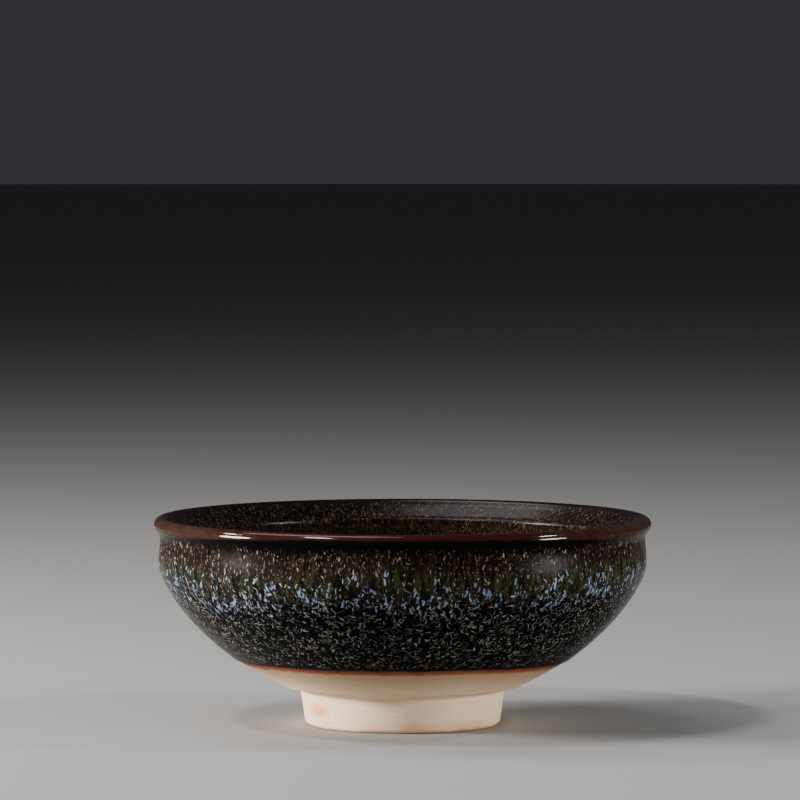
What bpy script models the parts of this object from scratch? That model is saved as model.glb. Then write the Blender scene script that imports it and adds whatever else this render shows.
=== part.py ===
"""A footed stoneware tea cup, thrown and turned in one piece.

Low bowl on a narrow foot, with a rolled lip, a pressed groove under it, a full belly and a
wall that slopes in to a bare clay shoulder. It is one fired body, hollow and open at the top.
Metres, +Z up. The origin is the middle of the foot's underside, on the table.
"""
import math

import bmesh
import bpy

# Lip and groove
RIM_RADIUS = 0.0475          # outermost reach of the rolled lip
CUP_HEIGHT = 0.0397          # table to the crest of the lip
LIP_RADIUS = 0.0015          # radius of the roll, half its thickness
LIP_OVERHANG = 0.0012        # how far the roll stands out from the groove under it
LIP_START = math.radians(-42)   # direction from the roll's centre to where the groove's curve meets it
GROOVE_DROP = 0.0040         # crest down to the deepest line of the groove
BELLY_PROUD = 0.0003         # how far the belly swells out past the groove
BELLY_DROP = 0.0085          # crest down to the fullest line of the belly

# Wall below the belly
HIP_RADIUS = 0.0443          # where the upright wall turns in
HIP_HEIGHT = 0.0252
HIP_SLOPE = math.radians(58)
GLAZE_EDGE_RADIUS = 0.0314   # where the glaze ends on the lower wall
GLAZE_EDGE_HEIGHT = 0.0124
GLAZE_EDGE_SLOPE = math.radians(33)

# Foot and shoulder
FOOT_RADIUS = 0.0187         # outside of the foot, just above its rounded toe
FOOT_FLARE = 0.0007          # how much wider the foot is at the neck
NECK_HEIGHT = 0.0070         # table to the ledge at the neck
NECK_FILLET = 0.0009
LEDGE_WIDTH = 0.0034         # nearly level ledge turned around the neck
LEDGE_RISE = 0.0005
TOE_RADIUS = 0.0011          # rounding at the bottom of the foot
RING_WIDTH = 0.0048          # flat ring that the cup stands on, toe included
RECESS_DEPTH = 0.0016        # hollow turned under the foot
RECESS_FILLET = 0.0007

# Inside
BASE_THICKNESS = 0.0080      # clay in the middle, between the recess and the well
WALL_AT_GLAZE_EDGE = 0.0050  # wall thickness where the outer glaze ends
WALL_AT_BELLY = 0.0046       # wall thickness at the belly
RIDGE_PROUD = 0.0008         # how far the inner ridge, opposite the groove, stands in from the wall

# Fineness of the turned surface
SIDES = 64
ARC_STEPS = 4
WALL_STEPS = 6
POLE_MERGE = 1e-6            # points closer than this on the axis become one

# Finishes: cream stoneware clay and near-black glaze
CLAY = (0.56, 0.47, 0.37, 1.0)
CLAY_ROUGHNESS = 0.75
GLAZE = (0.012, 0.011, 0.010, 1.0)
GLAZE_ROUGHNESS = 0.15
SHARP_ANGLE = math.radians(40)   # edges turned tighter than this stay crisp


def clear_scene():
    for item in list(bpy.data.objects):
        bpy.data.objects.remove(item, do_unlink=True)


def arc(centre, radius, start, end, steps):
    """Points on a circle in the section plane, from angle start to angle end."""
    points = []
    for step in range(steps + 1):
        angle = start + (end - start) * step / steps
        points.append((centre[0] + radius * math.cos(angle), centre[1] + radius * math.sin(angle)))
    return points


def flow(start, start_slope, end, end_slope, steps):
    """A smooth stretch from start, left out, to end, at the slopes given for the two."""
    reach = math.dist(start, end) / 3
    first = (start[0] + reach * math.cos(start_slope), start[1] + reach * math.sin(start_slope))
    second = (end[0] - reach * math.cos(end_slope), end[1] - reach * math.sin(end_slope))
    points = []
    for step in range(1, steps + 1):
        share = step / steps
        rest = 1 - share
        weights = (rest ** 3, 3 * rest * rest * share, 3 * rest * share * share, share ** 3)
        corners = (start, first, second, end)
        points.append(tuple(sum(w * corner[axis] for w, corner in zip(weights, corners))
                            for axis in (0, 1)))
    return points


def underside():
    """Middle of the recess, out to the flat ring that stands on the table."""
    ring_inside = FOOT_RADIUS - RING_WIDTH
    fillet = min(RECESS_FILLET, RECESS_DEPTH)
    corner = (ring_inside - fillet, RECESS_DEPTH - fillet)
    return [(0.0, RECESS_DEPTH)] + arc(corner, fillet, math.pi / 2, 0, ARC_STEPS) + [(ring_inside, 0.0)]


def foot_side():
    """Rounded toe, slightly flared side and the fillet into the ledge."""
    toe = arc((FOOT_RADIUS - TOE_RADIUS, TOE_RADIUS), TOE_RADIUS, -math.pi / 2, 0, ARC_STEPS)
    neck_radius = FOOT_RADIUS + FOOT_FLARE
    centre = (neck_radius + NECK_FILLET, NECK_HEIGHT - NECK_FILLET)
    return toe + arc(centre, NECK_FILLET, math.pi, math.pi / 2, ARC_STEPS)


def ledge_edge():
    return (FOOT_RADIUS + FOOT_FLARE + LEDGE_WIDTH, NECK_HEIGHT + LEDGE_RISE)


def glaze_edge():
    return (GLAZE_EDGE_RADIUS, GLAZE_EDGE_HEIGHT)


def groove_line():
    return (RIM_RADIUS - LIP_OVERHANG, CUP_HEIGHT - GROOVE_DROP)


def shoulder():
    """Bare clay between the ledge and the glaze, a straight cut with a soft start."""
    cut = math.atan2(glaze_edge()[1] - ledge_edge()[1], glaze_edge()[0] - ledge_edge()[0])
    return [ledge_edge()] + flow(ledge_edge(), cut, glaze_edge(), GLAZE_EDGE_SLOPE, ARC_STEPS)


def glazed_wall():
    """Lower wall, hip, belly and up to the groove, without the glaze edge itself."""
    hip = (HIP_RADIUS, HIP_HEIGHT)
    belly = (groove_line()[0] + BELLY_PROUD, CUP_HEIGHT - BELLY_DROP)
    upright = math.pi / 2
    lower = flow(glaze_edge(), GLAZE_EDGE_SLOPE, hip, HIP_SLOPE, WALL_STEPS)
    upper = flow(hip, HIP_SLOPE, belly, upright, WALL_STEPS)
    return lower + upper + flow(belly, upright, groove_line(), upright, ARC_STEPS)


def lip():
    """Out of the groove, round the roll and over the crest to its inner side."""
    centre = (RIM_RADIUS - LIP_RADIUS, CUP_HEIGHT - LIP_RADIUS)
    roll = arc(centre, LIP_RADIUS, LIP_START, math.pi, 3 * ARC_STEPS)
    upright = math.pi / 2
    return flow(groove_line(), upright, roll[0], LIP_START + upright, ARC_STEPS)[:-1] + roll


def inner_wall():
    """Inside of the wall, kept at its thickness from the outer surface, belly to glaze edge."""
    outer = [glaze_edge()] + glazed_wall()
    climb = CUP_HEIGHT - BELLY_DROP - GLAZE_EDGE_HEIGHT
    points = []
    for below, here, above in reversed(list(zip(outer, outer[1:], outer[2:]))):
        share = (here[1] - GLAZE_EDGE_HEIGHT) / climb
        if share > 1:
            continue
        thickness = WALL_AT_GLAZE_EDGE + (WALL_AT_BELLY - WALL_AT_GLAZE_EDGE) * share
        run = (above[0] - below[0], above[1] - below[1])
        length = math.hypot(*run)
        points.append((here[0] - thickness * run[1] / length, here[1] + thickness * run[0] / length))
    return points


def inner_ridge(lip_end, wall_top):
    """Low ridge inside the groove, between the lip and the wall."""
    down = -math.pi / 2
    ridge = (wall_top[0] - RIDGE_PROUD, groove_line()[1])
    under_lip = flow(lip_end, down, ridge, down, ARC_STEPS)
    return under_lip + flow(ridge, down, wall_top, down, ARC_STEPS)[:-1]


def well(top, slope):
    """Bottom of the inside, from the end of the wall to the middle."""
    middle = (0.0, RECESS_DEPTH + BASE_THICKNESS)
    return flow(top, slope, middle, math.pi, WALL_STEPS)


def section():
    """The whole outline, from the middle of the underside round to the middle of the well."""
    outside = underside() + foot_side() + shoulder() + glazed_wall() + lip()
    wall = inner_wall()
    slope = math.atan2(wall[-1][1] - wall[-2][1], wall[-1][0] - wall[-2][0])
    return outside + inner_ridge(outside[-1], wall[0]) + wall + well(wall[-1], slope)


def turned(name, outline, colour, roughness):
    """Spin an outline once around Z into a closed, smooth-shaded object."""
    shape = bmesh.new()
    points = [shape.verts.new((radius, 0.0, height)) for radius, height in outline]
    edges = [shape.edges.new(pair) for pair in zip(points, points[1:])]
    bmesh.ops.spin(shape, geom=points + edges, cent=(0, 0, 0), axis=(0, 0, 1), dvec=(0, 0, 0),
                   angle=math.tau, steps=SIDES, use_merge=True)
    bmesh.ops.remove_doubles(shape, verts=shape.verts, dist=POLE_MERGE)
    bmesh.ops.recalc_face_normals(shape, faces=shape.faces)
    mesh = bpy.data.meshes.new(name)
    shape.to_mesh(mesh)
    shape.free()
    mesh.shade_smooth()
    mesh.set_sharp_from_angle(angle=SHARP_ANGLE)
    item = bpy.data.objects.new(name, mesh)
    bpy.context.scene.collection.objects.link(item)
    mesh.materials.append(finish(name, colour, roughness))
    return item


def finish(name, colour, roughness):
    material = bpy.data.materials.new(name)
    material.use_nodes = True
    shader = material.node_tree.nodes["Principled BSDF"]
    shader.inputs["Base Color"].default_value = colour
    shader.inputs["Roughness"].default_value = roughness
    shader.inputs["Metallic"].default_value = 0.0
    return material


def assign_glaze(cup):
    """Everything above the glaze edge, and the whole inside, is glazed; the rest is bare clay."""
    cup.data.materials.append(finish("glaze", GLAZE, GLAZE_ROUGHNESS))
    for face in cup.data.polygons:
        out_from_axis = face.center.x * face.normal.x + face.center.y * face.normal.y
        inside = face.normal.z > 0 and out_from_axis <= 0
        if face.center.z > GLAZE_EDGE_HEIGHT or inside:
            face.material_index = 1


clear_scene()
tea_cup = turned("tea_cup", section(), CLAY, CLAY_ROUGHNESS)
assign_glaze(tea_cup)
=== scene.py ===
import math

import bmesh
import bpy
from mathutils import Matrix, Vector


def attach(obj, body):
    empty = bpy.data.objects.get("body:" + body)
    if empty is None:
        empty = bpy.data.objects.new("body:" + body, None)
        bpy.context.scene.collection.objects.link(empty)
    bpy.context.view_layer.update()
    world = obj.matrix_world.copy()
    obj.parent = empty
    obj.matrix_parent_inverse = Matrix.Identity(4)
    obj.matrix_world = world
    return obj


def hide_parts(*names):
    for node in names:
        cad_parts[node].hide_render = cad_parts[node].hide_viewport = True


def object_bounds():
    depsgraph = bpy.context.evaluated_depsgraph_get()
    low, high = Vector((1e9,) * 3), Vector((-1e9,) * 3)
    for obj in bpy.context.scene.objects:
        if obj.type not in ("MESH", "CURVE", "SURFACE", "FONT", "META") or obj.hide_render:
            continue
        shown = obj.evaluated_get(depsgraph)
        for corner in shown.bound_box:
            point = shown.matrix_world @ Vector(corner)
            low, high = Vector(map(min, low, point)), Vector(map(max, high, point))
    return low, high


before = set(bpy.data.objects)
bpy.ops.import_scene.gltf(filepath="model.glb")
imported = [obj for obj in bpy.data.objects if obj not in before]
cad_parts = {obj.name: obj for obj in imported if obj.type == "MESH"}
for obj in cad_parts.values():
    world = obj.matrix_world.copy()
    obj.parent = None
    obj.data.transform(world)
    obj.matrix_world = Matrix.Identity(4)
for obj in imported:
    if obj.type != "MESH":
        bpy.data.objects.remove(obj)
cad_low, cad_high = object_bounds()


# The clay body
# Cream stoneware, thrown on a wheel and turned when it has stiffened. The shoulder, the ledge at
# the neck and the foot are cut with a loop tool and stay bare; the rest is under fired glaze.

RIM = cad_high.x
HEIGHT = cad_high.z
LIP_RADIUS = 0.0015
LIP_START = math.radians(-42)   # direction from the roll's centre to where the groove's curve meets it
LIP_END = math.radians(142)     # and to where the slant inside the lip leaves it
UPRIGHT = math.pi / 2
GROOVE = (RIM - 0.0012, HEIGHT - 0.0040)
BELLY = (GROOVE[0] + 0.0003, HEIGHT - 0.0085)
HIP = (0.0443, 0.0252)
HIP_SLOPE = math.radians(58)
GLAZE_EDGE = (0.0314, 0.0124)
GLAZE_EDGE_SLOPE = math.radians(33)
FOOT_RADIUS = 0.0187
TOE_RADIUS = 0.0011
NECK = (FOOT_RADIUS + 0.0007, 0.0070)
NECK_FILLET = 0.0009
LEDGE_EDGE = (NECK[0] + 0.0034, NECK[1] + 0.0005)
LEDGE_SLOPES = (0.1, 0.15)      # of the ledge's curve, at the neck and at its edge, in radians
RING_INSIDE = FOOT_RADIUS - 0.0048
RING_BEVEL = 0.0001             # on the inner corner of the ring that the cup stands on
RECESS_DEPTH = 0.0016
RECESS_FILLET = 0.0007
BASE_THICKNESS = 0.0080
WALL_AT_EDGE = 0.0050
WALL_AT_BELLY = 0.0046
RIDGE_PROUD = 0.0008            # how far the inner ridge stands in from the wall
BROW = (0.0011, 0.0010)         # from the ridge out and up to where the slant above it turns down
GLAZE_DEPTH = 0.00025           # how far the covered clay lies under the glaze's surface
EDGE_RISE = 0.0012              # how far over its nominal circle the glaze ends, taken all round
EDGE_WAVES = (                  # waves of the glaze edge: how many to a turn, height, start
    (1, 0.0003, 3.75),
    (2, 0.0006, -1.57),
    (5, 0.00012, 1.1),
    (11, 0.00008, 2.3),
    (23, 0.00005, 0.4),
)
EDGE_LIMIT = 0.0028             # higher than the glaze edge rises anywhere
SIDES = 256
SAME_POINT = 1e-7               # points closer than this become one
ON_AXIS = 1e-6                  # points closer to the axis than this face no side
CREASE = math.radians(38)       # edges turned tighter than this stay crisp

STRIP_TURN = (0.005, 0.99)      # where a strip starts along its place on the map, and its length
STRIP_SEEN = (0.07, 0.91)       # the same across it, for the part that can be seen
STRIP_HIDDEN = (0.01, 0.04)     # and for the part under other pieces
DISC_SEEN = (0.5, 0.49)         # centre on the map, the same both ways, and radius
DISC_HIDDEN = (0.925, 0.07)


def arc(centre, radius, start, end, steps):
    """Points on a circle in the section plane."""
    angles = [start + (end - start) * step / steps for step in range(steps + 1)]
    return [(centre[0] + radius * math.cos(a), centre[1] + radius * math.sin(a)) for a in angles]


def flow(start, start_slope, end, end_slope, steps):
    """A smooth stretch from start, left out, to end, at the slopes given for the two."""
    reach = math.dist(start, end) / 3
    first = (start[0] + reach * math.cos(start_slope), start[1] + reach * math.sin(start_slope))
    second = (end[0] - reach * math.cos(end_slope), end[1] - reach * math.sin(end_slope))
    points = []
    for step in range(1, steps + 1):
        share = step / steps
        rest = 1 - share
        weights = (rest ** 3, 3 * rest * rest * share, 3 * rest * share * share, share ** 3)
        corners = (start, first, second, end)
        points.append(tuple(sum(w * corner[axis] for w, corner in zip(weights, corners))
                            for axis in (0, 1)))
    return points


def inset(points, depth):
    """The line at depth(point) inside an outline that keeps the clay on its left."""
    moved = []
    for index, here in enumerate(points):
        before, after = points[max(index - 1, 0)], points[min(index + 1, len(points) - 1)]
        run = (after[0] - before[0], after[1] - before[1])
        length = math.hypot(*run)
        deep = depth(here)
        moved.append((max(here[0] - deep * run[1] / length, 0.0), here[1] + deep * run[0] / length))
    return moved


def foot_and_shoulder():
    """Middle of the recess under the foot, out, up and along the shoulder to the glaze edge."""
    corner = (RING_INSIDE - RECESS_FILLET, RECESS_DEPTH - RECESS_FILLET)
    rings = 12
    under = [(corner[0] * ring / rings, RECESS_DEPTH) for ring in range(rings)]
    under += arc(corner, RECESS_FILLET, UPRIGHT, 0, steps=6)
    under += [(RING_INSIDE, RING_BEVEL), (RING_INSIDE + RING_BEVEL, 0.0)]
    toe = arc((FOOT_RADIUS - TOE_RADIUS, TOE_RADIUS), TOE_RADIUS, -UPRIGHT, 0, steps=8)
    fillet = arc((NECK[0] + NECK_FILLET, NECK[1] - NECK_FILLET), NECK_FILLET, math.pi, UPRIGHT, steps=8)
    side_slope = math.atan2(fillet[0][1] - toe[-1][1], fillet[0][0] - toe[-1][0])
    side = flow(toe[-1], side_slope, fillet[0], side_slope, steps=16)[:-1]
    ledge = flow(fillet[-1], LEDGE_SLOPES[0], LEDGE_EDGE, LEDGE_SLOPES[1], steps=8)
    cut = math.atan2(GLAZE_EDGE[1] - LEDGE_EDGE[1], GLAZE_EDGE[0] - LEDGE_EDGE[0])
    shoulder = flow(LEDGE_EDGE, cut, GLAZE_EDGE, GLAZE_EDGE_SLOPE, steps=30)
    return under + toe + side + fillet + ledge + shoulder


def outside_wall(steps):
    """Glaze edge, left out, up the wall to the fullest line of the belly."""
    lower = flow(GLAZE_EDGE, GLAZE_EDGE_SLOPE, HIP, HIP_SLOPE, 3 * steps)
    return lower + flow(HIP, HIP_SLOPE, BELLY, UPRIGHT, 2 * steps)


def inside_wall(steps):
    """Inside of the wall, kept at its thickness, from the belly down to the well."""
    def thickness(point):
        climbed = (point[1] - GLAZE_EDGE[1]) / (BELLY[1] - GLAZE_EDGE[1])
        return WALL_AT_EDGE + (WALL_AT_BELLY - WALL_AT_EDGE) * climbed
    return inset([GLAZE_EDGE] + outside_wall(steps), thickness)[::-1]


def rim_band(steps):
    """Belly, left out, up the groove, over the rolled lip and down past the inner ridge."""
    centre = (RIM - LIP_RADIUS, HEIGHT - LIP_RADIUS)
    roll = arc(centre, LIP_RADIUS, LIP_START, LIP_END, 3 * steps)
    wall_top = inside_wall(6)[0]
    ridge = (wall_top[0] - RIDGE_PROUD, GROOVE[1])
    brow = (ridge[0] + BROW[0], ridge[1] + BROW[1])
    slant = math.atan2(brow[1] - roll[-1][1], brow[0] - roll[-1][0])
    up = flow(BELLY, UPRIGHT, GROOVE, UPRIGHT, steps)
    up += flow(GROOVE, UPRIGHT, roll[0], LIP_START + UPRIGHT, steps)[:-1]
    down = flow(roll[-1], LIP_END + UPRIGHT - math.tau, brow, slant, steps)
    down += flow(brow, slant, ridge, -UPRIGHT, steps)
    return up + roll + down + flow(ridge, -UPRIGHT, wall_top, -UPRIGHT, steps)


def well(top, steps):
    """Bottom of the inside, from the end of the wall, left out, to the middle."""
    slope = GLAZE_EDGE_SLOPE + math.pi
    return flow(top, slope, (0.0, RECESS_DEPTH + BASE_THICKNESS), math.pi, steps)


def lay_out_map(shape, place, outline, shown, strips):
    """Gives a spun shape its own map, with the seen and the hidden part side by side."""
    runs = [0.0]
    for before, after in zip(outline, outline[1:] + outline[:1]):
        runs.append(runs[-1] + math.dist(before, after))
    seen = runs[shown - 1]
    from_middle = outline[0][0] == 0 or strips
    chart = shape.loops.layers.uv.new("OFBake")
    for face in shape.faces:
        marks = [loop.vert[place] for loop in face.loops]
        if max(marks) - min(marks) > 1:
            marks = [mark or len(outline) for mark in marks]
        in_sight = max(marks) < shown
        middle = face.calc_center_median()
        facing = math.atan2(middle.y, middle.x)
        strip = min(int((facing / math.tau + 0.5) * strips), strips - 1)
        for loop, mark in zip(face.loops, marks):
            spot = loop.vert.co
            angle = math.atan2(spot.y, spot.x) if math.hypot(spot.x, spot.y) > ON_AXIS else facing
            angle = facing + (angle - facing + math.pi) % math.tau - math.pi
            share = runs[mark] / seen if in_sight else (runs[mark] - seen) / (runs[-1] - seen)
            if in_sight and not from_middle:
                share = 1 - share
            if strips:
                turn = (angle / math.tau + 0.5) * strips - strip
                left, length = STRIP_TURN
                start, width = STRIP_SEEN if in_sight else STRIP_HIDDEN
                loop[chart].uv = (left + length * turn, (strip + start + width * share) / strips)
            else:
                centre, radius = DISC_SEEN if in_sight else DISC_HIDDEN
                reach = radius * share
                loop[chart].uv = (centre + reach * math.cos(angle), centre + reach * math.sin(angle))


def spun(name, outline, shown, strips=0):
    """Spins an outline once around Z into a closed piece, and lays out its own map.

    shown is how many of the outline's points can be seen; the rest are under other pieces. The map
    is cut into strips, or is a disc where there are none."""
    shape = bmesh.new()
    place = shape.verts.layers.int.new("place")
    points = []
    for index, (radius, height) in enumerate(outline):
        point = shape.verts.new((radius, 0.0, height))
        point[place] = index
        points.append(point)
    pairs = [pair for pair in zip(points, points[1:]) if pair[0].co.x or pair[1].co.x]
    if outline[0][0] > 0:
        pairs.append((points[-1], points[0]))
    edges = [shape.edges.new(pair) for pair in pairs]
    bmesh.ops.spin(shape, geom=points + edges, cent=(0, 0, 0), axis=(0, 0, 1), dvec=(0, 0, 0),
                   angle=math.tau, steps=SIDES, use_merge=True)
    bmesh.ops.remove_doubles(shape, verts=shape.verts, dist=SAME_POINT)
    bmesh.ops.recalc_face_normals(shape, faces=shape.faces)
    lay_out_map(shape, place, outline, shown, strips)
    mesh = bpy.data.meshes.new(name)
    shape.to_mesh(mesh)
    shape.free()
    mesh.shade_smooth()
    mesh.set_sharp_from_angle(angle=CREASE)
    piece = bpy.data.objects.new(name, mesh)
    bpy.context.scene.collection.objects.link(piece)
    return piece


def shade(red, green, blue):
    """A colour seen on a screen, 0 to 255, as the light values that a shader wants."""
    return tuple(((c / 255 + 0.055) / 1.055) ** 2.4 if c > 10 else c / 255 / 12.92
                 for c in (red, green, blue)) + (1.0,)


def plug(tree, value, socket):
    """Links a value that is a socket, and sets any other."""
    if isinstance(value, bpy.types.NodeSocket):
        tree.links.new(value, socket)
    else:
        socket.default_value = value


def put(tree, kind, inputs=None, **settings):
    """Adds a node, with its settings and then its inputs."""
    node = tree.nodes.new("ShaderNode" + kind)
    for name, value in settings.items():
        setattr(node, name, value)
    for key, value in (inputs or {}).items():
        plug(tree, value, node.inputs[key])
    return node


def figure(tree, operation, *values):
    return put(tree, "Math", dict(enumerate(values)), operation=operation).outputs[0]


def chain(tree, operation, values):
    """One operation on several values, taken from left to right."""
    result = values[0]
    for value in values[1:]:
        result = figure(tree, operation, result, value)
    return result


def times(tree, *values):
    return chain(tree, "MULTIPLY", values)


def plus(tree, *values):
    return chain(tree, "ADD", values)


def minus(tree, *values):
    return chain(tree, "SUBTRACT", values)


def largest(tree, *values):
    return chain(tree, "MAXIMUM", values)


def vector(tree, operation, *values):
    """Arithmetic that makes a vector."""
    return put(tree, "VectorMath", dict(enumerate(values)), operation=operation).outputs[0]


def scaled(tree, value, factor):
    return put(tree, "VectorMath", {0: value, "Scale": factor}, operation="SCALE").outputs[0]


def measure(tree, operation, *values):
    """Arithmetic that makes a number out of vectors."""
    return put(tree, "VectorMath", dict(enumerate(values)), operation=operation).outputs["Value"]


def spread(tree, value, low, high, to_low=0.0, to_high=1.0):
    """A soft step: value from low to high becomes to_low to to_high."""
    return put(tree, "MapRange", {0: value, 1: low, 2: high, 3: to_low, 4: to_high},
               interpolation_type="SMOOTHSTEP").outputs[0]


def blend(tree, share, low, high):
    """The colour high laid over the colour low, as much as share says."""
    return put(tree, "Mix", {0: share, 6: low, 7: high}, data_type="RGBA").outputs[2]


def ramp(tree, value, stops):
    """A colour for each height; stops are (height, colour) from low to high."""
    low, high = stops[0][0], stops[-1][0]
    share = put(tree, "MapRange", {0: value, 1: low, 2: high}).outputs[0]
    node = put(tree, "ValToRGB", {0: share})
    band = node.color_ramp
    while len(band.elements) < len(stops):
        band.elements.new(0.5)
    for element, (height, colour) in zip(band.elements, stops):
        element.position = (height - low) / (high - low)
        element.color = colour
    return node.outputs[0]


def in_millimetres(tree):
    """Object coordinates, in millimetres."""
    return scaled(tree, put(tree, "TexCoord").outputs["Object"], 1000.0)


def noise(tree, place, size, detail=2.0, stretch=(1, 1, 1), shift=(0, 0, 0)):
    """Cloudy values about 0.5 with lumps about size across, drawn out by stretch."""
    lumps = put(tree, "Mapping", {"Vector": place, "Location": shift,
                                  "Scale": tuple(1 / (size * s) for s in stretch)}).outputs[0]
    return put(tree, "TexNoise", {"Vector": lumps, "Scale": 1.0, "Detail": detail}).outputs[0]


def sway(tree, place, size, swing, **kind):
    """Cloudy values about 0, from half of swing below it to half above."""
    return times(tree, minus(tree, noise(tree, place, size, **kind), 0.5), swing)


def finish(name):
    """A new material, with its node tree and its shader."""
    made = bpy.data.materials.new(name)
    made.use_nodes = True
    return made, made.node_tree, made.node_tree.nodes["Principled BSDF"]


def wear(shader, tree, values, bump, depth):
    """Feeds a shader, with relief from bump, depth metres high at a value of 1."""
    for key, value in values.items():
        plug(tree, value, shader.inputs[key])
    normal = put(tree, "Bump", {"Height": bump, "Distance": depth, "Strength": 1.0}).outputs[0]
    tree.links.new(normal, shader.inputs["Normal"])


def edge_slide(spot):
    """How far up the wall from its nominal circle the glaze really ends, on the side where spot is."""
    angle = math.atan2(spot.y, spot.x)
    return EDGE_RISE + sum(size * math.sin(count * angle + start) for count, size, start in EDGE_WAVES)


def off_edge(spot):
    """How far spot is from the nominal circle of the glaze edge, outward and up."""
    return math.hypot(spot.x, spot.y) - GLAZE_EDGE[0], spot.z - GLAZE_EDGE[1]


def note_below_edge(piece):
    """Notes, in millimetres, how far down the clay from the glaze's real edge each point is."""
    note = piece.data.attributes.new("from_edge", "FLOAT", "POINT")
    for vertex, value in zip(piece.data.vertices, note.data):
        gap = off_edge(vertex.co)
        value.value = 1000 * (edge_slide(vertex.co) - math.copysign(math.hypot(*gap), gap[1]))


def glaze_over(point):
    """Depth of the glaze over the clay: none within EDGE_LIMIT of the edge, full from twice as far."""
    past = math.dist(point, GLAZE_EDGE) - EDGE_LIMIT
    return GLAZE_DEPTH * min(1.0, max(0.0, past / EDGE_LIMIT))


covered = [GLAZE_EDGE] + outside_wall(6) + rim_band(6) + inside_wall(6)[1:]
covered += well(covered[-1], 8)
covered = inset(covered, glaze_over)
bare = foot_and_shoulder()
seen_points = len(bare) + 4     # the clay can be seen a little way past the nominal circle
clay_body = spun("clay_body", bare + covered[1:-1] + [(0.0, covered[-1][1])], seen_points)
note_below_edge(clay_body)

CREAM_LIGHT = shade(252, 225, 190)
CREAM_DEEP = shade(239, 206, 168)
GRAIN_COLOUR = shade(204, 176, 146)
SCORCHES_AND_SHADE = (                    # how far below the glaze each starts and is full, most of it, colour
    # a tint over the whole shoulder: partly toasted clay, partly painted shade where the shoulder faces down
    (11.0, 2.0, 0.75, shade(160, 116, 80)),
    (2.7, 1.3, 1.0, shade(136, 60, 25)),
    (1.2, 0.3, 1.0, shade(50, 16, 7)),
)
SPOT = (-15.8, -10.4, 3.6)      # an orange spot on the foot, in millimetres on the cup's axes
SPOT_SQUEEZE = (0.7, 0.7, 1.7)
SPOT_COLOUR = shade(244, 164, 84)
BLUSH_COLOUR = shade(222, 158, 106)
CLAY_RELIEF = 0.00005

clay, tree, shader = finish("clay")
place = in_millimetres(tree)
height = put(tree, "SeparateXYZ", {0: place}).outputs["Z"]
grain = noise(tree, place, 0.35, detail=3.0)
cream = blend(tree, noise(tree, place, 9.0), CREAM_LIGHT, CREAM_DEEP)
cream = blend(tree, spread(tree, grain, 0.4, 0.8, 0.0, 0.22), cream, GRAIN_COLOUR)
below = put(tree, "Attribute", attribute_name="from_edge").outputs["Fac"]
below = plus(tree, below, sway(tree, place, 2.5, 0.9))
# Darker and warmer towards the glaze: the wide first tint is partly painted shade on the shoulder, the narrow
# rust and scorch lines are the clay's own
for start, full, most, colour in SCORCHES_AND_SHADE:
    cream = blend(tree, spread(tree, below, start, full, 0.0, most), cream, colour)
spot = vector(tree, "MULTIPLY", vector(tree, "SUBTRACT", place, SPOT), SPOT_SQUEEZE)
spot = measure(tree, "LENGTH", spot)
spot = plus(tree, spot, times(tree, noise(tree, place, 1.2), 2.4))
cream = blend(tree, spread(tree, spot, 4.6, 1.8), cream, SPOT_COLOUR)
blush = times(tree, spread(tree, height, 2.8, 0.2),
              spread(tree, noise(tree, place, 8.0, shift=(2.0, 0.0, 0.0)), 0.44, 0.66))
cream = blend(tree, times(tree, blush, 0.7), cream, BLUSH_COLOUR)
turning_lines = put(tree, "TexWave", {"Vector": place, "Scale": 0.30, "Distortion": 0.6, "Detail": 2.0,
                                      "Detail Scale": 0.4}, wave_type="BANDS", bands_direction="Z")
relief = plus(tree, times(tree, grain, 0.8), times(tree, turning_lines.outputs["Fac"], 0.3))
wear(shader, tree, {"Base Color": cream, "Roughness": spread(tree, grain, 0.3, 0.7, 0.68, 0.84)},
     relief, CLAY_RELIEF)
clay_body.data.materials.append(clay)
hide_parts("tea_cup")
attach(clay_body, "root")


# The glaze outside
# A dark iron glaze, dipped on and fired until it runs: pale crystals grow where it is thick, it
# streaks olive and brown higher up, and it stops above the shoulder in a soft rolled edge.

COAT = 0.0005             # depth of the glaze piece, into the clay
EDGE_ROLL = 0.00022       # how far the rolled edge stands out from the clay
EDGE_NOSE = 0.0003        # length of the rounded front of the roll
NOSE_STEPS = (0.0, 0.00003, 0.0001, 0.0002)   # points along it, from the edge
EDGE_REACH = 0.0022       # how far up the wall the roll fades out
EDGE_FADE = 0.007         # the waves of the edge die out over this much of the wall
LAP = 0.000004            # how far a piece dips under the next one where they meet
RIM_STEPS = 10            # points along each stretch of the rim's outline
WALL_STEPS = 18
GLAZE_RELIEF = 0.00004
GLAZE_IOR = 1.5

# Zones of the glaze by level, in millimetres above the table: where each starts and is full
RUNNING = (38.4, 34.0)    # from here down the level wanders, as the glaze has run
LIP_BROWN = (36.9, 37.5)  # red-brown over the outside of the roll
LIP_ROUND = (45.5, 46.5)  # the same by distance from the axis
CREST = (38.9, 39.4)      # darker on the crest and inside it
CREST_ROUND = (46.0, 45.4)    # the same by distance from the axis
INSIDE_ROUND = (45.7, 44.9)   # inside of the rim, by distance from the axis
INSIDE_FROM = (28.0, 32.0)    # and by height
INSIDE_DROP = 2.6         # the zones lie this much lower inside, in millimetres
STREAKED = (36.9, 35.4)   # brown streaks and threads from here down
SPECKED = (37.2, 36.0)    # pale specks from here down
SATIN = (38.2, 36.2)      # the glaze turns from glassy to satin
POOLED = (38.6, 38.0)     # from here down the outside reflects less
OLIVE_TOP = (34.2, 31.0)  # olive and rust streaks, between this and the next
OLIVE_END = (24.8, 27.2)
DEEP = (28.0, 26.4)       # black with worm-like crystals from here down
FLECKS_TOP = (33.6, 29.2)     # blue flecks, between this and the next
FLECKS_END = (25.2, 27.2)
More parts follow.
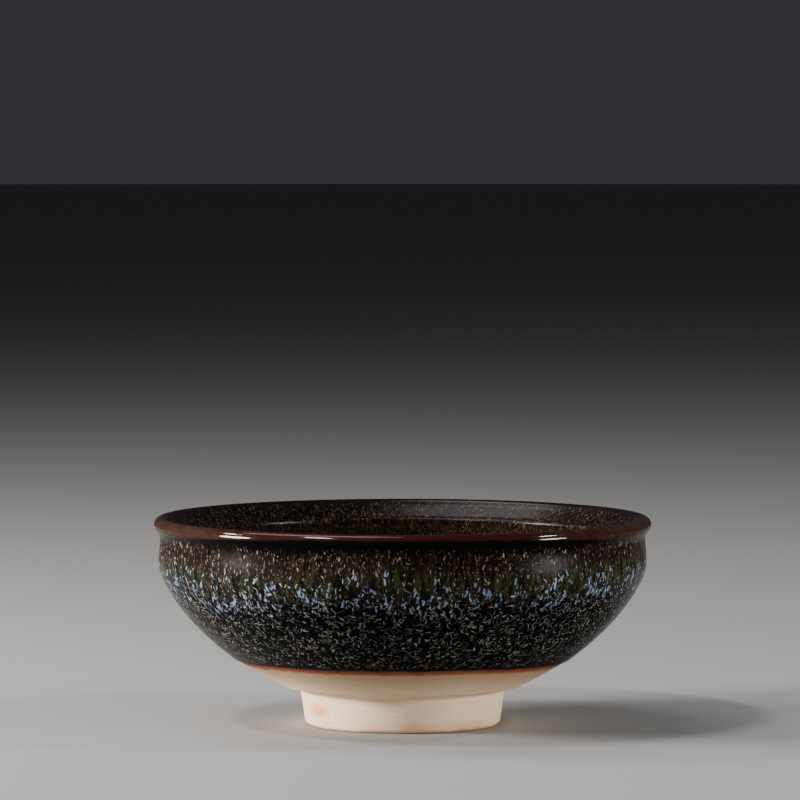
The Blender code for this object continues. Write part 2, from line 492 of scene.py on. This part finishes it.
UPPER_GROUND = (
    (28.0, shade(14, 13, 9)),
    (31.0, shade(24, 21, 12)),
    (34.0, shade(23, 15, 11)),
    (35.8, shade(16, 9, 7)),
    (36.9, shade(5, 4, 4)),
    (38.2, shade(6, 4, 4)),
)
# red-brown of the lip, and the paler tan of its sides, which is partly the lip's own colour and partly
# painted reflection of the low side lights
LIP_RED, LIP_TAN_AND_REFLECTION = shade(45, 17, 14), shade(50, 33, 26)
CREST_COLOUR = shade(20, 9, 11)
STREAK_COLOUR, THREAD_COLOUR = shade(62, 46, 36), shade(84, 68, 58)
SPECK_DARK, SPECK_PALE = shade(104, 84, 72), shade(166, 154, 142)
SPECK_INSIDE = shade(118, 96, 70)
OLIVE, RUST, GAP_BLACK = shade(52, 56, 34), shade(80, 46, 22), shade(7, 7, 6)
DEEP_BLACK, DEEP_BROWN = shade(3, 3, 4), shade(9, 8, 8)
WORM_COLOUR = shade(132, 128, 121)
FLECK_BLUE, FLECK_GREEN, SPARK_COLOUR = shade(108, 118, 166), shade(114, 136, 152), shade(180, 184, 204)
THIN_EDGE_COLOUR = shade(56, 22, 8)


def new_group(name, inputs, outputs):
    """A shader node group; inputs are (name, kind, default) and outputs (name, kind)."""
    tree = bpy.data.node_groups.new(name, "ShaderNodeTree")
    for socket_name, kind, value in inputs:
        socket = tree.interface.new_socket(name=socket_name, in_out="INPUT", socket_type="NodeSocket" + kind)
        if value is not None:
            socket.default_value = value
    for socket_name, kind in outputs:
        tree.interface.new_socket(name=socket_name, in_out="OUTPUT", socket_type="NodeSocket" + kind)
    return tree, tree.nodes.new("NodeGroupInput").outputs, tree.nodes.new("NodeGroupOutput").inputs


def give(tree, leave, values):
    """Links a group's results to its outputs."""
    for name, value in values.items():
        tree.links.new(value, leave[name])


def use(tree, group, inputs):
    """Places a node group with its values."""
    return put(tree, "Group", inputs, node_tree=group).outputs


def from_axis(tree, place):
    """Distance from the cup's axis."""
    return measure(tree, "LENGTH", vector(tree, "MULTIPLY", place, (1.0, 1.0, 0.0)))


def crystal_group():
    """Bent rods of crystal that lie on the glaze, one to a cell, each with its own direction and tone.

    Sizes are in millimetres. Upright turns the rods to the vertical, and Share is how many show."""
    tree, given, leave = new_group(
        "crystals",
        [("Position", "Vector", None), ("Facing", "Vector", None), ("Spacing", "Float", 0.9),
         ("Half Length", "Float", 0.4), ("Half Width", "Float", 0.13), ("Upright", "Float", 0.0),
         ("Bend", "Float", 0.5), ("Share", "Float", 1.0)],
        [("Mask", "Float"), ("Tone", "Float")])
    middle = (0.5, 0.5, 0.5)

    def laid_flat(lying):
        rise = measure(tree, "DOT_PRODUCT", lying, given["Facing"])
        return vector(tree, "SUBTRACT", lying, scaled(tree, given["Facing"], rise))

    swirl = put(tree, "TexNoise", {"Vector": given["Position"], "Scale": 1.3, "Detail": 0.0}).outputs["Color"]
    swirl = scaled(tree, vector(tree, "SUBTRACT", swirl, middle), given["Bend"])
    place = vector(tree, "ADD", given["Position"], swirl)
    shrink = figure(tree, "DIVIDE", 1.0, given["Spacing"])
    place = scaled(tree, place, shrink)
    cell = put(tree, "TexVoronoi", {"Vector": place, "Scale": 1.0, "Randomness": 1.0}).outputs
    offset = laid_flat(vector(tree, "SUBTRACT", place, cell["Position"]))
    flat = minus(tree, 1.0, given["Upright"])
    squeeze = put(tree, "CombineXYZ", {0: flat, 1: flat, 2: 1.0}).outputs[0]
    heading = vector(tree, "MULTIPLY", vector(tree, "SUBTRACT", cell["Color"], middle), squeeze)
    heading = vector(tree, "NORMALIZE", laid_flat(heading))
    along = measure(tree, "DOT_PRODUCT", offset, heading)
    half = times(tree, given["Half Length"], shrink)
    along = largest(tree, figure(tree, "MINIMUM", along, half), times(tree, half, -1.0))
    gap = measure(tree, "DISTANCE", offset, scaled(tree, heading, along))
    gap = times(tree, gap, given["Spacing"])
    dice = put(tree, "SeparateXYZ", {0: cell["Color"]}).outputs
    chance = figure(tree, "FRACT", plus(tree, times(tree, dice[0], 7.7), times(tree, dice[1], 3.1)))
    tone = figure(tree, "FRACT", plus(tree, times(tree, dice[1], 9.3), times(tree, dice[2], 5.9)))
    solid = spread(tree, gap, given["Half Width"], times(tree, given["Half Width"], 0.3))
    kept = figure(tree, "LESS_THAN", chance, given["Share"])
    give(tree, leave, {"Mask": times(tree, solid, kept), "Tone": tone})
    return tree


crystals = crystal_group()


def rods(tree, place, facing, spacing, half_length, half_width, upright, bend, share):
    """A layer of crystals."""
    return use(tree, crystals, {"Position": place, "Facing": facing, "Spacing": spacing,
                                "Half Length": half_length, "Half Width": half_width,
                                "Upright": upright, "Bend": bend, "Share": share})


def showing(tree, layer, faintest, strongest):
    """How strongly a layer of crystals shows, each by its own tone."""
    return times(tree, layer["Mask"], spread(tree, layer["Tone"], 0.0, 1.0, faintest, strongest))


def rim_group():
    """The upper glaze, outside and in: brown on the lip, black under it, then brown with specks."""
    tree, given, leave = new_group(
        "upper_glaze", [("Position", "Vector", None), ("Facing", "Vector", None)],
        [("Color", "Color"), ("Roughness", "Float"), ("Shine", "Float"), ("Relief", "Float"),
         ("Level", "Float")])
    place, facing = given["Position"], given["Facing"]
    axes = put(tree, "SeparateXYZ", {0: place}).outputs
    height = axes[2]
    drift = sway(tree, place, 17.0, 5.0, detail=1.0)
    drips = sway(tree, place, 1.2, 7.0, stretch=(1, 1, 12))
    tilt = times(tree, axes[0], -0.014)
    wander = times(tree, plus(tree, drift, drips, tilt), spread(tree, height, *RUNNING))
    level = plus(tree, height, wander)
    ground = ramp(tree, level, UPPER_GROUND)

    across = from_axis(tree, place)
    worn = plus(tree, height, sway(tree, place, 2.0, 0.5))
    worn = minus(tree, worn, spread(tree, axes[1], -20.0, -48.0, 0.0, 1.45))
    lip = times(tree, spread(tree, worn, *LIP_BROWN), spread(tree, across, *LIP_ROUND))
    # Paler tan towards the left and right of the lip: partly its own colour, partly painted reflection of the
    # low side lights
    tan_and_reflection = times(tree, noise(tree, place, 2.0, detail=4.0, shift=(3.1, 0.4, 1.9)), 130.0)
    sideways = figure(tree, "ABSOLUTE", minus(tree, axes[0], 4.0))
    tan_and_reflection = spread(tree, plus(tree, tan_and_reflection, sideways), 70.0, 125.0)
    ground = blend(tree, lip, ground, blend(tree, tan_and_reflection, LIP_RED, LIP_TAN_AND_REFLECTION))
    crest = times(tree, spread(tree, height, *CREST), spread(tree, across, *CREST_ROUND))
    ground = blend(tree, crest, ground, CREST_COLOUR)

    within = times(tree, spread(tree, across, *INSIDE_ROUND), spread(tree, height, *INSIDE_FROM))
    level = minus(tree, level, times(tree, within, INSIDE_DROP))
    wall = spread(tree, level, *STREAKED)
    streaks = spread(tree, noise(tree, place, 0.8, stretch=(1, 1, 7), shift=(5.0, 1.0, 0.3)), 0.5, 0.75)
    ground = blend(tree, times(tree, wall, streaks, 0.3), ground, STREAK_COLOUR)
    threads = spread(tree, noise(tree, place, 0.32, stretch=(1, 1, 6), shift=(1.0, 7.0, 0.2)), 0.5, 0.8)
    ground = blend(tree, times(tree, wall, threads, 0.26), ground, THREAD_COLOUR)
    near = rods(tree, place, facing, spacing=0.92, half_length=0.22, half_width=0.18, upright=0.85, bend=0.2,
                share=0.22)
    fine = rods(tree, place, facing, spacing=0.56, half_length=0.18, half_width=0.12, upright=0.85, bend=0.2,
                share=0.36)
    specks = times(tree, near["Mask"], spread(tree, near["Tone"], 0.1, 1.0, 0.1, 1.0))
    specks = largest(tree, specks, showing(tree, fine, 0.1, 0.7))
    specks = times(tree, specks, spread(tree, level, *SPECKED))
    tint = blend(tree, within, blend(tree, near["Tone"], SPECK_DARK, SPECK_PALE), SPECK_INSIDE)
    strength = spread(tree, within, 0.0, 1.0, 0.78, 0.5)
    ground = blend(tree, times(tree, specks, strength), ground, tint)
    rough = largest(tree, spread(tree, level, *SATIN, 0.08, 0.25), times(tree, within, 0.16))
    shine = largest(tree, spread(tree, height, *POOLED, 0.25, 0.027), times(tree, within, 0.13))
    give(tree, leave, {"Color": ground, "Roughness": rough, "Shine": shine,
                       "Relief": times(tree, specks, 0.5), "Level": level})
    return tree


upper_glaze = rim_group()


def start_glaze(name):
    """A new material with the upper glaze in it, and the two positions that glazes are made from."""
    made, tree, shader = finish(name)
    place = in_millimetres(tree)
    facing = put(tree, "Attribute", attribute_name="facing").outputs["Vector"]
    upper = use(tree, upper_glaze, {"Position": place, "Facing": facing})
    return made, tree, shader, place, facing, upper


outer, tree, shader, place, facing, upper = start_glaze("outer_glaze")
level = upper["Level"]
above = put(tree, "Attribute", attribute_name="from_edge").outputs["Fac"]
olive = times(tree, spread(tree, level, *OLIVE_TOP), spread(tree, level, *OLIVE_END))
streaks = spread(tree, noise(tree, place, 0.7, stretch=(1, 1, 9), shift=(2.0, 8.0, 0.7)), 0.44, 0.66)
rust = spread(tree, noise(tree, place, 1.0, stretch=(1, 1, 5), shift=(4.0, 3.0, 9.0)), 0.60, 0.72)
gaps = spread(tree, noise(tree, place, 1.1, stretch=(1, 1, 6), shift=(9.0, 1.0, 4.0)), 0.52, 0.62)
colour = blend(tree, times(tree, olive, streaks, 0.7), upper["Color"], OLIVE)
colour = blend(tree, times(tree, olive, rust, 0.6), colour, RUST)
colour = blend(tree, times(tree, olive, gaps, 0.8), colour, GAP_BLACK)

deep = spread(tree, level, *DEEP)
colour = blend(tree, deep, colour, blend(tree, noise(tree, place, 7.0), DEEP_BLACK, DEEP_BROWN))
worms = rods(tree, place, facing, spacing=0.95, half_length=0.44, half_width=0.15, upright=0.0, bend=1.0,
             share=0.5)
grains = rods(tree, place, facing, spacing=0.66, half_length=0.28, half_width=0.10, upright=0.0, bend=1.0,
              share=0.35)
pale = largest(tree, showing(tree, worms, 0.3, 1.0), showing(tree, grains, 0.15, 0.7))
pale = times(tree, pale, deep, spread(tree, above, 0.4, 1.6), spread(tree, above, 0.0, 9.0, 0.6, 1.0))
colour = blend(tree, times(tree, pale, 0.95), colour, WORM_COLOUR)

thick = times(tree, spread(tree, level, *FLECKS_TOP), spread(tree, level, *FLECKS_END))
patches = spread(tree, noise(tree, place, 3.2, detail=1.0, shift=(0.0, 6.0, 2.0)), 0.35, 0.65)
crowd = times(tree, spread(tree, level, 32.4, 28.0, 0.1, 0.38), spread(tree, patches, 0.0, 1.0, 0.4, 1.0))
flecks = rods(tree, place, facing, spacing=1.25, half_length=0.5, half_width=0.27, upright=0.8, bend=0.6,
              share=crowd)
sparks = rods(tree, place, facing, spacing=0.8, half_length=0.36, half_width=0.15, upright=0.7, bend=0.5,
              share=crowd)
sky = blend(tree, flecks["Tone"], FLECK_BLUE, FLECK_GREEN)
sky = blend(tree, spread(tree, sparks["Tone"], 0.4, 1.0, 0.0, 0.7), sky, SPARK_COLOUR)
spray = largest(tree, times(tree, flecks["Mask"], 0.85), times(tree, sparks["Mask"], 0.8))
spray = times(tree, spray, spread(tree, thick, 0.05, 0.4))
colour = blend(tree, spray, colour, sky)

edge = plus(tree, above, sway(tree, place, 1.5, 0.4))
colour = blend(tree, spread(tree, edge, 0.42, 0.1), colour, THIN_EDGE_COLOUR)
relief = plus(tree, upper["Relief"], times(tree, largest(tree, pale, spray), 0.7),
              noise(tree, place, 2.6, detail=1.0))
wear(shader, tree, {"Base Color": colour, "Roughness": upper["Roughness"], "IOR": GLAZE_IOR,
                    "Specular IOR Level": upper["Shine"]}, relief, GLAZE_RELIEF)


def roll_out(point):
    """Depth, below zero for outward, of the rolled edge of the glaze at a point of the wall."""
    far = math.dist(point, GLAZE_EDGE)
    flat = 1 - min(far / EDGE_NOSE, 1.0)
    return -EDGE_ROLL * math.sqrt(1 - flat * flat) * math.exp(-far / EDGE_REACH)


def slide_with_edge(piece):
    """Slides the points near the glaze edge up the wall with it, and notes, in millimetres, how far
    from the edge each one is."""
    uphill = (math.cos(GLAZE_EDGE_SLOPE), math.sin(GLAZE_EDGE_SLOPE))
    note = piece.data.attributes.new("from_edge", "FLOAT", "POINT")
    for vertex, value in zip(piece.data.vertices, note.data):
        far = math.hypot(*off_edge(vertex.co))
        slide = edge_slide(vertex.co) * max(0.0, 1 - far / EDGE_FADE)
        widen = 1 + slide * uphill[0] / math.hypot(vertex.co.x, vertex.co.y)
        vertex.co.x *= widen
        vertex.co.y *= widen
        vertex.co.z += slide * uphill[1]
        value.value = 1000 * far


def mark_facing(piece):
    """Notes which way the surface faces at each point."""
    note = piece.data.attributes.new("facing", "FLOAT_VECTOR", "POINT")
    for normal, value in zip(piece.data.vertex_normals, note.data):
        value.vector = normal.vector


def coat(name, skin, first, last, hidden_steps, strips=0):
    """One piece of the glaze: skin from first to last, lapped under the next piece at open ends."""
    outline = list(skin[first:last + 1])
    dipped = inset(skin, lambda point: LAP)
    if first:
        outline.insert(0, dipped[first - 1])
    if last < len(skin) - 1:
        outline.append(dipped[last + 1])
    sunk = inset(outline, lambda point: COAT)
    step = max(1, len(outline) // hidden_steps)
    back = [sunk[-1]] + sunk[-1 - step:0:-step] + [sunk[0]]
    return spun(name, outline + back, len(outline), strips)


nose = [(GLAZE_EDGE[0] + far * math.cos(GLAZE_EDGE_SLOPE), GLAZE_EDGE[1] + far * math.sin(GLAZE_EDGE_SLOPE))
        for far in NOSE_STEPS]
outer_skin = inset(nose + outside_wall(WALL_STEPS), roll_out)
rim_skin = rim_band(RIM_STEPS)
inner_skin = inside_wall(WALL_STEPS)[1:]
inner_skin += well(inner_skin[-1], 40)
skin = outer_skin + rim_skin + inner_skin
groove = len(outer_skin) - 1 + RIM_STEPS
ridge = len(outer_skin) - 1 + len(rim_skin) - RIM_STEPS

outer_glaze = coat("outer_glaze", skin, 0, groove, hidden_steps=8, strips=3)
slide_with_edge(outer_glaze)
mark_facing(outer_glaze)
outer_glaze.data.materials.append(outer)
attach(outer_glaze, "root")


# The rolled lip
# The glaze runs off the lip and leaves it thin, so the iron shows red-brown over the roll, with a
# pool of black in the groove under it, outside and in.

lip, tree, shader, place, facing, upper = start_glaze("lip_glaze")
relief = plus(tree, upper["Relief"], noise(tree, place, 2.6, detail=1.0))
wear(shader, tree, {"Base Color": upper["Color"], "Roughness": upper["Roughness"], "IOR": GLAZE_IOR,
                    "Specular IOR Level": upper["Shine"]}, relief, GLAZE_RELIEF)
lip_glaze = coat("lip_glaze", skin, groove, ridge, hidden_steps=12, strips=4)
mark_facing(lip_glaze)
lip_glaze.data.materials.append(lip)
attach(lip_glaze, "root")


# The glaze inside, with its leaf
# The same glaze, thicker in the well, over which a gilt leaf skeleton was laid and fired in. It
# is colour only: lobes, ribs and a net of fine veins in worn gold, with a bare brown stem.

LEAF_STALK = (-12.3, -7.4)    # where the lobes meet the stem, in millimetres on the cup's axes
STEM_TIP = (-10.3, -11.4)     # end of the stem, from there
LOBES = (                     # turn in degrees, length, width left, width right, arch, sway, point
    (75.3, 35.6, 13.0, 8.0, 0.4, 1.6, 1.3),      # top
    (37.2, 45.6, 14.5, 12.5, 0.0, 0.3, 1.3),     # upper right
    (3.3, 39.6, 10.0, 13.0, -2.0, 0.0, 1.3),     # right
    (-42.8, 24.4, 9.0, 7.8, 0.6, 0.4, 1.1),      # bottom
    (132.0, 19.6, 6.0, 9.0, 0.5, 0.0, 0.8),      # left
    (112.0, 21.5, 8.0, 8.0, 0.6, 0.0, 0.7),      # upper left
)
BRANCH_GAP = 4.4              # from one side rib to the next
GOLD_DULL, GOLD_BRIGHT = shade(104, 84, 44), shade(192, 164, 100)
RIB_COLOUR, STEM_COLOUR = shade(194, 150, 80), shade(192, 136, 74)

# Colours of the glaze by distance from the cup's axis, in millimetres
INNER_GROUND = (
    (26.0, shade(5, 6, 9)),
    (31.0, shade(8, 9, 10)),
    (36.0, shade(14, 16, 12)),
    (39.0, shade(15, 13, 7)),
    (42.0, shade(13, 9, 6)),
)
INNER_TINT = (
    (26.0, shade(158, 164, 174)),
    (32.0, shade(160, 168, 170)),
    (36.0, shade(168, 174, 160)),
    (38.0, shade(144, 136, 100)),
    (42.0, shade(152, 128, 92)),
)
INNER_CROWD = (               # the share of crystals that show, as greys
    (24.0, (0.34, 0.34, 0.34, 1)),
    (31.0, (0.5, 0.5, 0.5, 1)),
    (35.0, (0.75, 0.75, 0.75, 1)),
    (38.5, (0.45, 0.45, 0.45, 1)),
    (42.0, (0.6, 0.6, 0.6, 1)),
)
UPPER_FROM = (31.5, 35.2)     # height where the upper glaze takes over
CRYSTALS_TOP = (35.4, 30.0)


def lobe_group():
    """One lobe of the leaf on its own rib. Lengths are in millimetres, from the top of the stem.

    Inside is how far in from the margin a point is, Rib the rib, and Net its side ribs and veins."""
    tree, given, leave = new_group(
        "leaf_lobe",
        [("Position", "Vector", None), ("Turn", "Float", 0.0), ("Length", "Float", 30.0),
         ("Left Width", "Float", 8.0), ("Right Width", "Float", 8.0), ("Arch", "Float", 0.0),
         ("Sway", "Float", 0.0), ("Point", "Float", 1.3)],
        [("Inside", "Float"), ("Rib", "Float"), ("Net", "Float")])
    back = times(tree, given["Turn"], -math.pi / 180)
    turned = put(tree, "VectorRotate", {"Vector": given["Position"], "Angle": back},
                 rotation_type="Z_AXIS").outputs[0]
    axes = put(tree, "SeparateXYZ", {0: turned}).outputs
    share = put(tree, "Clamp", {0: figure(tree, "DIVIDE", axes[0], given["Length"])}).outputs[0]
    arch = times(tree, given["Arch"], figure(tree, "SINE", times(tree, share, math.pi)))
    bow = times(tree, given["Sway"], figure(tree, "SINE", times(tree, share, math.tau)))
    taper = minus(tree, 1.0, figure(tree, "POWER", share, 3.0))
    taper = figure(tree, "POWER", taper, given["Point"])
    root = put(tree, "Clamp", {0: figure(tree, "DIVIDE", axes[0], 6.0)}).outputs[0]
    root = figure(tree, "SQRT", root)
    on_left = figure(tree, "GREATER_THAN", axes[1], 0.0)
    width = put(tree, "Mix", {0: on_left, 2: given["Right Width"], 3: given["Left Width"]}).outputs[0]
    inside = minus(tree, times(tree, width, taper, root), figure(tree, "ABSOLUTE", axes[1]))
    beyond = largest(tree, minus(tree, axes[0], given["Length"]), times(tree, axes[0], -1.0), 0.0)
    inside = minus(tree, inside, times(tree, beyond, 3.0))

    off_rib = minus(tree, axes[1], plus(tree, arch, bow))
    beside = figure(tree, "ABSOLUTE", off_rib)
    on_lobe = times(tree, figure(tree, "GREATER_THAN", axes[0], 0.0),
                    figure(tree, "LESS_THAN", axes[0], given["Length"]))
    half = spread(tree, share, 0.0, 1.0, 0.42, 0.16)
    rib = times(tree, spread(tree, beside, half, times(tree, half, 0.5)), on_lobe)
    slant = minus(tree, axes[0], times(tree, figure(tree, "POWER", beside, 0.9), 1.1))
    slant = plus(tree, slant, times(tree, on_left, 1.9))
    bent = plus(tree, slant, sway(tree, turned, 4.0, 3.0))
    beat = figure(tree, "FRACT", figure(tree, "DIVIDE", bent, BRANCH_GAP))
    beat = times(tree, figure(tree, "ABSOLUTE", minus(tree, beat, 0.5)), BRANCH_GAP)
    branch = times(tree, spread(tree, beat, 0.26, 0.12), on_lobe, spread(tree, slant, 2.0, 3.0))
    weave = put(tree, "CombineXYZ", {0: times(tree, slant, 0.95), 1: times(tree, off_rib, 0.8)}).outputs[0]
    cells = put(tree, "TexVoronoi", {"Vector": weave, "Scale": 1.0, "Randomness": 0.85},
                voronoi_dimensions="2D", feature="DISTANCE_TO_EDGE").outputs["Distance"]
    wide = spread(tree, inside, 6.0, 1.0, 0.13, 0.19)
    veins = times(tree, spread(tree, cells, wide, times(tree, wide, 0.45)), 0.85)
    give(tree, leave, {"Inside": inside, "Rib": rib, "Net": largest(tree, branch, veins)})
    return tree


lobe = lobe_group()
inner, tree, shader, place, facing, upper = start_glaze("inner_glaze")
height = put(tree, "SeparateXYZ", {0: place}).outputs["Z"]
reach = plus(tree, from_axis(tree, place), sway(tree, place, 7.0, 6.0))
ground = ramp(tree, reach, INNER_GROUND)
colour = blend(tree, spread(tree, height, *UPPER_FROM), ground, upper["Color"])
crowd = ramp(tree, reach, INNER_CROWD)
rice = rods(tree, place, facing, spacing=0.85, half_length=0.26, half_width=0.2, upright=0.0, bend=0.7,
            share=crowd)
dust = rods(tree, place, facing, spacing=0.55, half_length=0.16, half_width=0.13, upright=0.0, bend=0.5,
            share=crowd)
pale = largest(tree, showing(tree, rice, 0.25, 1.0), times(tree, dust["Mask"], 0.5))
pale = times(tree, pale, spread(tree, height, *CRYSTALS_TOP))
colour = blend(tree, times(tree, pale, 0.66), colour, ramp(tree, reach, INNER_TINT))

on_leaf = vector(tree, "SUBTRACT", place, (*LEAF_STALK, 0.0))
on_leaf = vector(tree, "MULTIPLY", on_leaf, (1.0, 1.0, 0.0))
inside, ribs, net = None, None, None
for turn, length, left_width, right_width, arch, bow, point in LOBES:
    part = use(tree, lobe, {"Position": on_leaf, "Turn": turn, "Length": length, "Left Width": left_width,
                            "Right Width": right_width, "Arch": arch, "Sway": bow, "Point": point})
    if inside:
        deeper = figure(tree, "GREATER_THAN", part["Inside"], inside)
        net = put(tree, "Mix", {0: deeper, 2: net, 3: part["Net"]}).outputs[0]
        ribs = largest(tree, ribs, part["Rib"])
        inside = largest(tree, inside, part["Inside"])
    else:
        inside, ribs, net = part["Inside"], part["Rib"], part["Net"]
inside = plus(tree, inside, sway(tree, on_leaf, 1.3, 2.2, detail=1.0))
blade = spread(tree, inside, 0.0, 0.2)
margin = times(tree, spread(tree, inside, 0.55, 0.25), 0.9)
worn = spread(tree, noise(tree, on_leaf, 7.0, detail=1.0, shift=(1.0, 2.0, 0.0)), 0.35, 0.65)
bright = largest(tree, spread(tree, inside, 5.0, 1.0), times(tree, worn, 0.7))
gold = blend(tree, ribs, blend(tree, bright, GOLD_DULL, GOLD_BRIGHT), RIB_COLOUR)
gilt = largest(tree, times(tree, largest(tree, net, margin, ribs), blade), times(tree, blade, 0.05))

stem_turn = -math.atan2(STEM_TIP[1], STEM_TIP[0])
on_stem = put(tree, "VectorRotate", {"Vector": on_leaf, "Angle": stem_turn},
              rotation_type="Z_AXIS").outputs[0]
stem_axes = put(tree, "SeparateXYZ", {0: on_stem}).outputs
stem_share = figure(tree, "DIVIDE", stem_axes[0], math.hypot(*STEM_TIP))
stem_bow = times(tree, figure(tree, "SINE", times(tree, stem_share, math.pi)), 0.5)
stem_gap = figure(tree, "ABSOLUTE", minus(tree, stem_axes[1], stem_bow))
stem_half = spread(tree, stem_share, 0.3, 1.0, 0.42, 0.7)
stem = times(tree, spread(tree, stem_gap, stem_half, times(tree, stem_half, 0.6)),
             figure(tree, "GREATER_THAN", stem_share, -0.04), figure(tree, "LESS_THAN", stem_share, 1.0))
gold = blend(tree, stem, gold, STEM_COLOUR)
gilt = largest(tree, gilt, stem)
colour = blend(tree, gilt, colour, gold)
relief = plus(tree, upper["Relief"], times(tree, pale, 0.4))
wear(shader, tree, {"Base Color": colour, "Roughness": spread(tree, gilt, 0.0, 1.0, 0.12, 0.3),
                    "Metallic": times(tree, gilt, 0.2), "IOR": GLAZE_IOR, "Specular IOR Level": 0.3},
     relief, GLAZE_RELIEF)

inner_glaze = coat("inner_glaze", skin, ridge, len(skin) - 1, hidden_steps=12)
mark_facing(inner_glaze)
inner_glaze.data.materials.append(inner)
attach(inner_glaze, "root")


# The studio
# A pale table, a low soft box and a small high one on each side, one high in front on the left,
# and a long one overhead that reaches down behind.

FLOOR_RADIUS = 8.0
TABLE_COLOUR = (0.30, 0.29, 0.28, 1.0)
TABLE_ROUGHNESS = 0.8
TABLE_SHINE = 0.2
LIGHT_AIM = 0.02          # height on the cup's axis that the lights face
ROOM_COLOUR = (0.50, 0.52, 0.58, 1.0)
ROOM_STRENGTH = 0.07
CAMERA_DISTANCE = 1.010
CAMERA_HEIGHT = 0.1161
AIM_HEIGHT = 0.0619       # height on the cup's axis that the middle of the picture looks at
SIDE_STEP = -0.0005
LENS = 238.6

floor_mesh = bpy.data.meshes.new("floor")
shape = bmesh.new()
bmesh.ops.create_circle(shape, cap_ends=True, segments=96, radius=FLOOR_RADIUS)
shape.to_mesh(floor_mesh)
shape.free()
floor = bpy.data.objects.new("floor", floor_mesh)
bpy.context.scene.collection.objects.link(floor)
table, tree, shader = finish("table")
shader.inputs["Base Color"].default_value = TABLE_COLOUR
shader.inputs["Roughness"].default_value = TABLE_ROUGHNESS
shader.inputs["Specular IOR Level"].default_value = TABLE_SHINE
see_through = put(tree, "BsdfTransparent").outputs[0]
behind = put(tree, "NewGeometry").outputs["Backfacing"]
shown = put(tree, "MixShader", {0: behind, 1: shader.outputs[0], 2: see_through}).outputs[0]
tree.links.new(shown, tree.nodes["Material Output"].inputs["Surface"])
floor_mesh.materials.append(table)


def soft_light(name, turn, distance, height, width, tall, power):
    """A soft box at a turn, in degrees to the left of the camera, facing the cup."""
    light = bpy.data.lights.new(name, "AREA")
    light.shape = "ELLIPSE"
    light.size = width
    light.size_y = tall
    light.energy = power
    box = bpy.data.objects.new(name, light)
    bpy.context.scene.collection.objects.link(box)
    angle = math.radians(turn)
    box.location = (-distance * math.sin(angle), -distance * math.cos(angle), height)
    aim = box.location * -1
    aim.z += LIGHT_AIM
    box.rotation_euler = aim.to_track_quat("-Z", "Y").to_euler()
    box.visible_camera = False


soft_light("box_left", turn=82, distance=0.60, height=0.17, width=0.20, tall=0.14, power=10.0)
soft_light("box_right", turn=-70, distance=0.62, height=0.12, width=0.16, tall=0.12, power=3.0)
soft_light("box_high_left", turn=103, distance=0.62, height=0.54, width=0.16, tall=0.06, power=2.0)
soft_light("box_high_front", turn=56, distance=0.46, height=0.74, width=0.18, tall=0.06, power=3.4)
soft_light("box_high_right", turn=-84, distance=0.60, height=0.58, width=0.12, tall=0.05, power=1.8)
soft_light("box_above", turn=124, distance=0.32, height=0.88, width=0.36, tall=0.64, power=2.4)

world = bpy.data.worlds.new("room")
world.use_nodes = True
world.node_tree.nodes["Background"].inputs["Color"].default_value = ROOM_COLOUR
world.node_tree.nodes["Background"].inputs["Strength"].default_value = ROOM_STRENGTH
bpy.context.scene.world = world

lens = bpy.data.cameras.new("camera")
lens.lens = LENS
camera = bpy.data.objects.new("camera", lens)
bpy.context.scene.collection.objects.link(camera)
camera.location = (SIDE_STEP, -CAMERA_DISTANCE, CAMERA_HEIGHT)
tilt = math.atan2(CAMERA_HEIGHT - AIM_HEIGHT, CAMERA_DISTANCE)
camera.rotation_euler = (math.pi / 2 - tilt, 0.0, 0.0)
bpy.context.scene.camera = camera
